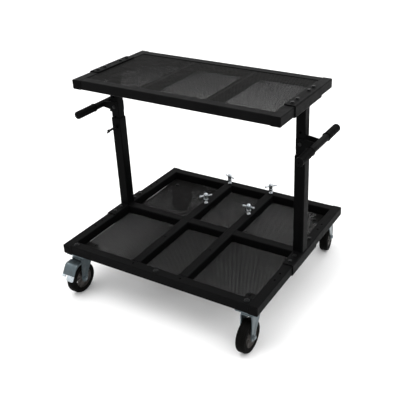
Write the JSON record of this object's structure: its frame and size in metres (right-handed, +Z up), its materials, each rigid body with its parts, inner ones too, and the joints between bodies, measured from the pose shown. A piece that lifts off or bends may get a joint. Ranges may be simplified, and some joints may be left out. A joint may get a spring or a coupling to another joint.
{
  "type": "engine stand",
  "caption": "Rolling engine stand: square-tube deck with perforated floor on swivel casters, and a lifting shelf on telescoping posts with push handles.",
  "frame": {"origin": "on the floor, under the middle of the deck: the middle of the bounding box's bottom face", "axes": "+X to the right along the long side, towards one handle; +Y to the back, where the clamping screws are; +Z up"},
  "size_m": [1.026, 0.926, 0.8823],
  "materials": {
    "deck_paint": "satin black powder coat with a fine orange peel",
    "shelf_paint": "satin black powder coat",
    "post_paint": "satin black powder coat",
    "bracket_paint": "satin black powder coat",
    "mesh_paint": "satin black powder coat on perforated sheet",
    "black_fastener": "black oxide",
    "plug_plastic": "matt black moulding",
    "caster_zinc": "blue-grey zinc plate",
    "brake_zinc": "bright zinc plate",
    "zinc_fastener": "dull zinc plate",
    "bright_zinc": "bright plated",
    "wheel_core": "cast, satin",
    "tyre_rubber": "matt black",
    "grip_rubber": "matt black"
  },
  "bodies": {
    "deck": {"deck_front_rail": "deck_paint", "deck_back_rail": "deck_paint", "deck_left_rail": "deck_paint", "deck_right_rail": "deck_paint", "deck_bars": "deck_paint", "deck_cross_member": "deck_paint", "deck_mesh": "mesh_paint", "deck_end_plugs": "plug_plastic", "front_rail_bolts": "black_fastener", "left_base_bracket": "bracket_paint", "right_base_bracket": "bracket_paint", "base_bracket_fasteners": "black_fastener", "left_outer_post": "post_paint", "right_outer_post": "post_paint", "post_stops": "bracket_paint", "caster_top_plates": "caster_zinc", "caster_plate_fasteners": "black_fastener"},
    "shelf": {"shelf_front_rail": "shelf_paint", "shelf_back_rail": "shelf_paint", "shelf_left_rail": "shelf_paint", "shelf_right_rail": "shelf_paint", "shelf_cross_members": "shelf_paint", "shelf_mesh": "mesh_paint", "shelf_end_plugs": "plug_plastic", "left_inner_post": "post_paint", "right_inner_post": "post_paint", "left_top_bracket": "bracket_paint", "right_top_bracket": "bracket_paint", "top_bracket_fasteners": "black_fastener", "left_handle_bracket": "bracket_paint", "right_handle_bracket": "bracket_paint", "handle_bracket_fasteners": "black_fastener", "handle_bars": "bracket_paint", "handle_grips": "grip_rubber"},
    "front_left_caster": {"front_left_fork": "caster_zinc", "front_left_axle": "zinc_fastener"},
    "front_left_wheel": {"front_left_hub": "wheel_core", "front_left_tyre": "tyre_rubber"},
    "front_left_brake": {"front_left_pedal": "brake_zinc"},
    "front_right_caster": {"front_right_fork": "caster_zinc", "front_right_axle": "zinc_fastener"},
    "front_right_wheel": {"front_right_hub": "wheel_core", "front_right_tyre": "tyre_rubber"},
    "back_left_caster": {"back_left_fork": "caster_zinc", "back_left_axle": "zinc_fastener"},
    "back_left_wheel": {"back_left_hub": "wheel_core", "back_left_tyre": "tyre_rubber"},
    "back_left_brake": {"back_left_pedal": "brake_zinc"},
    "back_right_caster": {"back_right_fork": "caster_zinc", "back_right_axle": "zinc_fastener"},
    "back_right_wheel": {"back_right_hub": "wheel_core", "back_right_tyre": "tyre_rubber"},
    "bar_screw_left": {"bar_screw_left": "bright_zinc"},
    "bar_screw_right": {"bar_screw_right": "bright_zinc"},
    "rail_screw_left": {"rail_screw_left": "bright_zinc"},
    "rail_screw_right": {"rail_screw_right": "bright_zinc"},
    "left_lock_pin": {"left_lock_pin": "black_fastener"},
    "right_lock_pin": {"right_lock_pin": "black_fastener"}
  },
  "joints": [
    {"name": "shelf_lift", "type": "slide", "parent": "deck", "child": "shelf", "axis": [0, 0, 1], "range_m": [0, 0.27]},
    {"name": "front_left_swivel", "type": "hinge", "parent": "deck", "child": "front_left_caster", "pos_m": [-0.398, -0.344, 0.168], "axis": [0, 0, 1], "continuous": true},
    {"name": "front_left_roll", "type": "hinge", "parent": "front_left_caster", "child": "front_left_wheel", "pos_m": [-0.398, -0.382, 0.065], "axis": [1, 0, 0], "continuous": true},
    {"name": "front_left_brake_press", "type": "hinge", "parent": "front_left_caster", "child": "front_left_brake", "pos_m": [-0.398, -0.378, 0.148], "axis": [1, 0, 0], "range_deg": [0, 8]},
    {"name": "front_right_swivel", "type": "hinge", "parent": "deck", "child": "front_right_caster", "pos_m": [0.398, -0.344, 0.168], "axis": [0, 0, 1], "continuous": true},
    {"name": "front_right_roll", "type": "hinge", "parent": "front_right_caster", "child": "front_right_wheel", "pos_m": [0.398, -0.382, 0.065], "axis": [1, 0, 0], "continuous": true},
    {"name": "back_left_swivel", "type": "hinge", "parent": "deck", "child": "back_left_caster", "pos_m": [-0.398, 0.344, 0.168], "axis": [0, 0, 1], "continuous": true},
    {"name": "back_left_roll", "type": "hinge", "parent": "back_left_caster", "child": "back_left_wheel", "pos_m": [-0.398, 0.382, 0.065], "axis": [1, 0, 0], "continuous": true},
    {"name": "back_left_brake_press", "type": "hinge", "parent": "back_left_caster", "child": "back_left_brake", "pos_m": [-0.398, 0.378, 0.148], "axis": [-1, 0, 0], "range_deg": [0, 8]},
    {"name": "back_right_swivel", "type": "hinge", "parent": "deck", "child": "back_right_caster", "pos_m": [0.398, 0.344, 0.168], "axis": [0, 0, 1], "continuous": true},
    {"name": "back_right_roll", "type": "hinge", "parent": "back_right_caster", "child": "back_right_wheel", "pos_m": [0.3914, 0.38142, 0.065], "axis": [0.9848, 0.1736, 0], "continuous": true},
    {"name": "bar_screw_left_turn", "type": "hinge", "parent": "deck", "child": "bar_screw_left", "pos_m": [-0.11, 0.162, 0.22], "axis": [0, 0, 1], "continuous": true},
    {"name": "bar_screw_right_turn", "type": "hinge", "parent": "deck", "child": "bar_screw_right", "pos_m": [0.11, 0.162, 0.22], "axis": [0, 0, 1], "continuous": true},
    {"name": "rail_screw_left_turn", "type": "hinge", "parent": "deck", "child": "rail_screw_left", "pos_m": [-0.11, 0.378, 0.22], "axis": [0, 0, 1], "continuous": true},
    {"name": "rail_screw_right_turn", "type": "hinge", "parent": "deck", "child": "rail_screw_right", "pos_m": [0.11, 0.378, 0.22], "axis": [0, 0, 1], "continuous": true},
    {"name": "left_lock_pin_push", "type": "slide", "parent": "deck", "child": "left_lock_pin", "axis": [0, 1, 0], "range_m": [0, 0.043]},
    {"name": "right_lock_pin_push", "type": "slide", "parent": "deck", "child": "right_lock_pin", "axis": [0, -1, 0], "range_m": [0, 0.043]}
  ]
}
